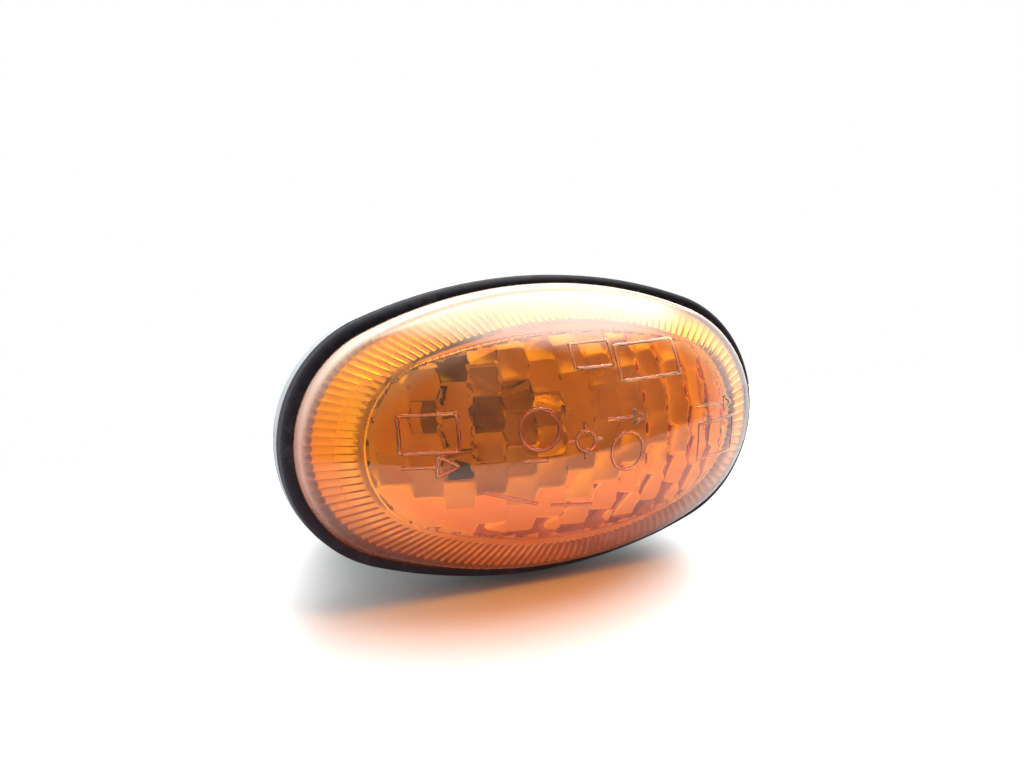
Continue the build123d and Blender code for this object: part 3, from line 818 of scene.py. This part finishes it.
        mesh = bpy.data.meshes.new("lens_seed")
        mesh.from_pydata(points, [], faces)
        mesh.update()
        face_out(mesh)
        for label, values in (("flute_turn", turn), ("fluted", fluted), ("pillowed", pillowed)):
            mesh.attributes.new(label, "FLOAT", "POINT").data.foreach_set("value", values)
        spot = np.array([(u, v, 0.0) for u, v in cell], np.float32)
        mesh.attributes.new("optic_spot", "FLOAT_VECTOR", "POINT").data.foreach_set("vector", spot.ravel())
        return mesh

    def optic_tree(self, material: Material) -> NodeTree:
        """Tree that raises the flutes and the staggered pillows on the inner side.

        Args:
            material: Material of the lens.

        Returns:
            The Geometry Nodes tree.
        """
        tree, node, given = new_tree("lens_optics", dict.fromkeys(OPTIC_SIZES, "NodeSocketFloat"))
        found = {label: given.outputs[label] for label in OPTIC_SIZES}
        for label in ("flute_turn", "fluted", "pillowed"):
            found[label] = node("GeometryNodeInputNamedAttribute", {"Name": label}, data_type="FLOAT")
        spot = node("GeometryNodeInputNamedAttribute", {"Name": "optic_spot"}, data_type="FLOAT_VECTOR")
        across = found["across"] = node("ShaderNodeSeparateXYZ", {0: spot}, out=0)
        up = found["up"] = across.node.outputs[1]
        for name, operation, *sources in OPTIC_STEPS:
            sockets = {i: found.get(source, source) for i, source in enumerate(sources)}
            found[name] = node("ShaderNodeMath", sockets, operation=operation)
        pillow_move = node("ShaderNodeCombineXYZ", {1: found["inner"]})
        flat = node("ShaderNodeCombineXYZ", {0: across, 2: up})
        axis = node("ShaderNodeVectorMath", {0: flat}, operation="NORMALIZE")
        flute_move = node("ShaderNodeVectorMath", {0: axis, "Scale": found["back"]}, operation="SCALE")
        move = node("ShaderNodeVectorMath", {0: pillow_move, 1: flute_move}, operation="ADD")
        shaped = node("GeometryNodeSetPosition", {"Geometry": given.outputs["Geometry"], "Offset": move})
        close_tree(tree, shaped, material)
        return tree

    def build(self) -> Object:
        """Build the lens and put it in place of its CAD node.

        Returns:
            The finished lens.
        """
        values = (self.flute_depth, self.pillow_pitch, self.pillow_radius, self.pillow_rise)
        sizes = {label: value * MM for label, value in zip(OPTIC_SIZES, values)}
        piece = grow("lens_amber", self.seed_mesh(), self.optic_tree(self.finish.material()), sizes)
        smooth(piece, self.crease_deg)
        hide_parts("lens")
        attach(piece, "root")
        return piece


RING_STEPS = 48
SIDE_STEPS = 12
LINE_STEPS = 16
ARM_STEPS = 6
HEAD_STEPS = 8
SHAFT_STEPS = 14
CENTRE_SHARE = 0.55
ARM_SHARE = 0.6


class MarkKind(Enum):
    """Plain moulded marks on the dome: no letters, no digits."""

    RING = "ring"
    FRAME = "frame"
    LINE = "line"
    ARROW = "arrow"
    CROSS = "cross"


@dataclass(frozen=True)
class Mark:
    """One raised mark, in (x, z) millimetres on the dome's front."""

    kind: MarkKind
    start: Pair
    end: Pair = (0.0, 0.0)
    size: float = 0.0

    def lines(self) -> list[tuple[np.ndarray, bool]]:
        """Draw the mark as flat lines.

        Returns:
            Lines of (x, z) points, each with whether it is closed.
        """
        a, b = np.array(self.start), np.array(self.end)
        if self.kind is MarkKind.RING:
            turns = np.linspace(0, 2 * math.pi, RING_STEPS, endpoint=False)
            return [(a + self.size * np.stack([np.cos(turns), np.sin(turns)], 1), True)]
        if self.kind is MarkKind.FRAME:
            corners = [(a[0], a[1]), (b[0], a[1]), (b[0], b[1]), (a[0], b[1]), (a[0], a[1])]
            runs = [np.linspace(p, q, SIDE_STEPS, endpoint=False) for p, q in zip(corners, corners[1:])]
            return [(np.concatenate(runs), True)]
        if self.kind is MarkKind.LINE:
            return [(np.linspace(a, b, LINE_STEPS), False)]
        if self.kind is MarkKind.CROSS:
            arms = [np.array(v) * self.size for v in ((1, 0), (-1, 0), (0, 1), (0, -1))]
            ring = Mark(MarkKind.RING, self.start, size=self.size * CENTRE_SHARE).lines()
            return ring + [(np.linspace(a + v * ARM_SHARE, a + v, ARM_STEPS), False) for v in arms]
        along = (b - a) / np.linalg.norm(b - a)
        side = np.array([-along[1], along[0]])
        tail = b - along * self.size
        tips = [tail + side * self.size / 2, b, tail - side * self.size / 2]
        sides = zip(tips, tips[1:] + tips[:1])
        head = np.concatenate([np.linspace(p, q, HEAD_STEPS, endpoint=False) for p, q in sides])
        return [(np.linspace(a, tail, SHAFT_STEPS), False), (head, True)]


@dataclass
class DomeMarks:
    """Plain raised marks moulded on the front of the dome: strokes with a flat top and sloping sides."""

    dome: Dome
    material: Material
    foot_width: float = 0.56
    top_width: float = 0.28
    rise: float = 0.08
    sunk: float = 0.03
    marks: tuple[Mark, ...] = (
        Mark(MarkKind.RING, (-6.5, 1.9), size=2.6),
        Mark(MarkKind.RING, (6.1, -2.2), size=2.5),
        Mark(MarkKind.CROSS, (-0.25, -0.1), size=2.4),
        Mark(MarkKind.ARROW, (3.2, 2.2), (9.1, 2.05), 1.7),
        Mark(MarkKind.FRAME, (-23.5, 4.7), (-16.6, 0.0)),
        Mark(MarkKind.ARROW, (-23.4, -1.75), (-16.7, -1.85), 2.6),
        Mark(MarkKind.FRAME, (19.4, -0.6), (27.8, -5.6)),
        Mark(MarkKind.ARROW, (18.9, 2.0), (27.4, 1.4), 1.9),
        Mark(MarkKind.FRAME, (-0.4, 12.1), (5.4, 8.95)),
        Mark(MarkKind.FRAME, (6.1, 11.4), (16.5, 6.8)),
        Mark(MarkKind.LINE, (-13.6, -5.55), (-6.6, -7.8)),
        Mark(MarkKind.LINE, (-4.8, -8.2), (1.25, -8.9)),
        Mark(MarkKind.LINE, (-8.8, -2.0), (-5.4, -2.05)),
    )

    def tree(self) -> NodeTree:
        """Tree that sweeps a flat-topped stroke along each line, square to the dome.

        Returns:
            The Geometry Nodes tree.
        """
        sizes = dict.fromkeys(("Foot width", "Top width", "Depth"), "NodeSocketFloat")
        tree, node, given = new_tree("dome_marks", sizes)
        curve = node("GeometryNodeMeshToCurve", {"Mesh": given.outputs["Geometry"]})
        normal = node("GeometryNodeInputNamedAttribute", {"Name": "dome_normal"}, data_type="FLOAT_VECTOR")
        upright = node("GeometryNodeSetCurveNormal", {"Curve": curve, "Normal": normal}, mode="FREE")
        widths = {
            "Height": given.outputs["Depth"],
            "Bottom Width": given.outputs["Foot width"],
            "Top Width": given.outputs["Top width"],
            "Offset": 0.0,
        }
        section = node("GeometryNodeCurvePrimitiveQuadrilateral", widths, mode="TRAPEZOID")
        turned = node("GeometryNodeTransform", {"Geometry": section, "Rotation": (0.0, 0.0, -math.pi / 2)})
        swept = node("GeometryNodeCurveToMesh", {"Curve": upright, "Profile Curve": turned, "Fill Caps": True})
        close_tree(tree, swept, self.material)
        return tree

    def build(self) -> Object:
        """Build every mark as one piece.

        Returns:
            The raised marks, seated on the dome.
        """
        lines = [line for mark in self.marks for line in mark.lines()]
        seats = [self.dome.seat(flat, (self.rise - self.sunk) / 2) for flat, _ in lines]
        mesh = path_mesh("dome_marks_seed", [points for points, _ in seats], [loop for _, loop in lines])
        normals = np.concatenate([normal for _, normal in seats]).astype(np.float32)
        mesh.attributes.new("dome_normal", "FLOAT_VECTOR", "POINT").data.foreach_set("vector", normals.ravel())
        sizes = {
            "Foot width": self.foot_width * MM,
            "Top width": self.top_width * MM,
            "Depth": (self.rise + self.sunk) * MM,
        }
        piece = grow("lens_marks", mesh, self.tree(), sizes)
        face_out(piece.data)
        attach(piece, "root")
        return piece


@dataclass
class JointDirt:
    """Dry dirt that has gathered in the groove between lens and gasket, mostly along the upper left."""

    groove: Oval = Oval(34.55, 19.55, 15.85)
    proud: float = 5.3
    crumbs: int = 900
    crumb_radius: float = 0.11
    crumb_low: Triple = (0.4, 0.4, 0.4)
    crumb_high: Triple = (1.3, 1.0, 1.3)
    crumb_turn: float = 6.28
    drift_low: Triple = (-0.12, -0.12, -0.12)
    drift_high: Triple = (0.12, 0.04, 0.12)
    lean: float = -0.35
    dirty_mm: Pair = (-12.0, 24.0)
    dirty_chance: Pair = (0.06, 0.9)
    seed: int = 11
    draw_shift: float = 7.0
    path_steps: int = 240

    def tree(self, material: Material) -> NodeTree:
        """Tree that drops crumbs along the groove.

        Args:
            material: Material of the dirt.

        Returns:
            The Geometry Nodes tree.
        """
        sizes = {"Crumbs": "NodeSocketInt", "Crumb radius": "NodeSocketFloat", "Seed": "NodeSocketInt"}
        tree, node, given = new_tree("joint_dirt", sizes)
        seed, radius = given.outputs["Seed"], given.outputs["Crumb radius"]
        curve = node("GeometryNodeMeshToCurve", {"Mesh": given.outputs["Geometry"]})
        along = node("FunctionNodeRandomValue", {2: 0.0, 3: 1.0, "Seed": seed}, out=1, data_type="FLOAT")
        spot = node("GeometryNodeSampleCurve", {"Curves": curve, "Factor": along}, out="Position", mode="FACTOR")
        dots = node("GeometryNodePoints", {"Count": given.outputs["Crumbs"], "Position": spot})
        low, high = (tuple(c * MM for c in limit) for limit in (self.drift_low, self.drift_high))
        jitter = node("FunctionNodeRandomValue", {"Min": low, "Max": high, "Seed": seed}, data_type="FLOAT_VECTOR")
        moved = node("GeometryNodeSetPosition", {"Geometry": dots, "Offset": jitter})
        where = node("GeometryNodeInputPosition")
        x = node("ShaderNodeSeparateXYZ", {0: where}, out=0)
        z = x.node.outputs[2]
        lean = node("ShaderNodeMath", {0: x, 1: self.lean, 2: z}, operation="MULTIPLY_ADD")
        (low, high), (least, most) = self.dirty_mm, self.dirty_chance
        chance = node("ShaderNodeMapRange", {0: lean, 1: low * MM, 2: high * MM, 3: least, 4: most})
        other = node("ShaderNodeMath", {0: seed, 1: self.draw_shift}, operation="ADD")
        draw = node("FunctionNodeRandomValue", {2: 0.0, 3: 1.0, "Seed": other}, out=1, data_type="FLOAT")
        keep = node("FunctionNodeCompare", {0: draw, 1: chance}, operation="LESS_THAN", data_type="FLOAT")
        crumb = node("GeometryNodeMeshIcoSphere", {"Radius": radius, "Subdivisions": 1}, out="Mesh")
        grades = {"Min": self.crumb_low, "Max": self.crumb_high, "Seed": seed}
        size = node("FunctionNodeRandomValue", grades, data_type="FLOAT_VECTOR")
        turns = {"Min": (0.0, 0.0, 0.0), "Max": (self.crumb_turn,) * 3, "Seed": seed}
        turned = node("FunctionNodeRandomValue", turns, data_type="FLOAT_VECTOR")
        drops = {"Points": moved, "Selection": keep, "Instance": crumb, "Rotation": turned, "Scale": size}
        spread = node("GeometryNodeInstanceOnPoints", drops)
        close_tree(tree, spread, material)
        return tree

    def build(self) -> Object:
        """Build the dirt as one piece.

        Returns:
            The crumbs in the groove.
        """
        flat = self.groove.outline(self.path_steps)
        ring = np.stack([flat[:, 0], np.full(len(flat), -self.proud), flat[:, 1]], 1)
        sizes = {"Crumbs": self.crumbs, "Crumb radius": self.crumb_radius * MM, "Seed": self.seed}
        piece = grow("joint_dirt", path_mesh("joint_dirt_seed", [ring], [True]), self.tree(DIRT.material()), sizes)
        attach(piece, "root")
        return piece


@dataclass
class CadPieces:
    """Pieces whose CAD shape is right and that only take a finish."""

    finishes: Mapping[str, Any] = field(
        default_factory=lambda: {
            "gasket": RUBBER,
            "housing": HOUSING_ABS,
            "spring_clip": CLIP_STEEL,
            "bulb_glass": BulbGlass(),
            "bulb_filament": TUNGSTEN,
            "lead_left": LEAD,
            "lead_right": LEAD,
            "bulb_holder": HOLDER_PBT,
            "holder_seal": SEAL_RUBBER,
            "contact_left": BRASS,
            "contact_right": BRASS,
        }
    )

    def dress(self) -> list[Object]:
        """Give each node its finish.

        Returns:
            The dressed nodes.
        """
        made: dict[str, Material] = {}
        dressed = []
        for name, finish in self.finishes.items():
            if finish.name not in made:
                made[finish.name] = finish.material()
            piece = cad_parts[name]
            piece.data.materials.clear()
            piece.data.materials.append(made[finish.name])
            dressed.append(piece)
        return dressed


@dataclass(frozen=True)
class Viewpoint:
    """Camera at the photograph's angle, in degrees, millimetres and pixels."""

    azimuth: float = -25.27
    elevation: float = 7.33
    roll: float = -2.35
    distance: float = 165.54
    focal_px: float = 1200.0
    target: Triple = (-2.68, -2.9, 5.79)

    def back(self) -> Vector:
        """Direction from the lamp to the camera."""
        a, e = math.radians(self.azimuth), math.radians(self.elevation)
        return Vector((math.sin(a) * math.cos(e), -math.cos(a) * math.cos(e), math.sin(e)))

    def build(self) -> Object:
        """Make the camera and give it to the scene.

        Returns:
            The camera object.
        """
        back = self.back()
        right = (-back).cross(Vector((0, 0, 1))).normalized()
        up = right.cross(-back)
        roll = math.radians(self.roll)
        across = right * math.cos(roll) + up * math.sin(roll)
        tall = up * math.cos(roll) - right * math.sin(roll)
        data = bpy.data.cameras.new("photo_view")
        data.sensor_width = SENSOR_MM
        data.lens = self.focal_px / IMAGE_WIDTH * SENSOR_MM
        data.clip_start = 0.01
        camera = bpy.data.objects.new("photo_view", data)
        turn = Matrix((across, tall, back)).transposed().to_4x4()
        camera.matrix_world = Matrix.Translation((Vector(self.target) + back * self.distance) * MM) @ turn
        bpy.context.scene.collection.objects.link(camera)
        bpy.context.scene.camera = camera
        return camera


@dataclass
class Studio:
    """Pale table under the lamp, which leans back on its connector, and soft white light with a key from above."""

    front_z: float = -20.6
    tail_y: float = 42.6
    tail_z: float = -7.0
    table_front: float = 420.0
    table_side: float = 420.0
    table_back: float = 3.0
    table_hex: str = "#bcbcbb"
    table_mottle: str = "#b6b6b6"
    table_scale: float = 12.0
    table_rough: float = 0.45
    table_ior: float = 1.45
    bright: float = 2.7
    dark: float = 0.35
    dark_way: Triple = (0.15, -0.98, 0.13)
    dark_range: Pair = (0.0, 0.45)
    key: float = 10.6
    key_way: Triple = (0.38, 0.08, 0.92)
    key_range: Pair = (0.76, 0.93)

    def table(self) -> Object:
        """Build the table top that the flange and the connector rest on.

        Returns:
            The table top.
        """
        slope = (self.tail_z - self.front_z) / self.tail_y
        rows = [-self.table_front, self.tail_y + self.table_back]
        corners = [(x, y, self.front_z + slope * y) for y in rows for x in (-self.table_side, self.table_side)]
        mesh = bpy.data.meshes.new("table_top")
        mesh.from_pydata([tuple(c * MM for c in p) for p in corners], [], [(0, 1, 3, 2)])
        mesh.update()
        # Pale laminate: satin white-grey, faintly clouded, so that the lamp's glow and shadow show on it.
        made, node, place = new_material("pale_laminate_table")
        cloud = node("ShaderNodeTexNoise", {"Vector": place, "Scale": self.table_scale, "Detail": 4.0})
        colour = node("ShaderNodeMix", {0: cloud, 6: srgb(self.table_hex), 7: srgb(self.table_mottle)}, **RGBA)
        skin = {"Base Color": colour, "Roughness": self.table_rough, "IOR": self.table_ior}
        body = node("ShaderNodeBsdfPrincipled", skin)
        node("ShaderNodeOutputMaterial", {"Surface": body})
        mesh.materials.append(made)
        table = bpy.data.objects.new("table_top", mesh)
        bpy.context.scene.collection.objects.link(table)
        return table

    def light(self) -> None:
        """Surround the lamp with soft white light that falls off towards the front."""
        world = bpy.data.worlds.new("soft_studio")
        world.use_nodes = True
        tree = world.node_tree
        node = partial(add, tree)
        tree.nodes.clear()
        way = node("ShaderNodeTexCoord", out="Generated")
        facing = node("ShaderNodeVectorMath", {0: way, 1: self.dark_way}, out="Value", operation="DOT_PRODUCT")
        low, high = self.dark_range
        fall = {0: facing, 1: low, 2: high, 3: self.bright, 4: self.dark}
        level = node("ShaderNodeMapRange", fall, interpolation_type="SMOOTHSTEP")
        over = node("ShaderNodeVectorMath", {0: way, 1: self.key_way}, out="Value", operation="DOT_PRODUCT")
        low, high = self.key_range
        box = node("ShaderNodeMapRange", {0: over, 1: low, 2: high, 4: self.key}, interpolation_type="SMOOTHSTEP")
        both = node("ShaderNodeMath", {0: level, 1: box}, operation="ADD")
        seen = node("ShaderNodeLightPath", out="Is Camera Ray")
        power = node("ShaderNodeMix", {0: seen, 2: both, 3: 1.0}, data_type="FLOAT")
        sky = node("ShaderNodeBackground", {"Color": (1.0, 1.0, 1.0, 1.0), "Strength": power})
        node("ShaderNodeOutputWorld", {"Surface": sky})
        bpy.context.scene.world = world
        bpy.context.scene.view_settings.view_transform = "Standard"

    def build(self) -> None:
        """Build the table and the light."""
        self.table()
        self.light()


def main() -> None:
    """Build and dress the lamp, then its stage and camera."""
    logging.basicConfig(level=logging.INFO, format="%(name)s: %(message)s")
    LOG.info("camera %s", Viewpoint().build().name)
    lens = Lens()
    for part in (lens, DomeMarks(lens.dome, RAISED_PMMA.material()), JointDirt()):
        piece = part.build()
        LOG.info("%s: %d faces", piece.name, len(piece.data.polygons))
    for piece in CadPieces().dress():
        LOG.info("%s dressed", piece.name)
    Studio().build()


if __name__ == "__main__":
    main()
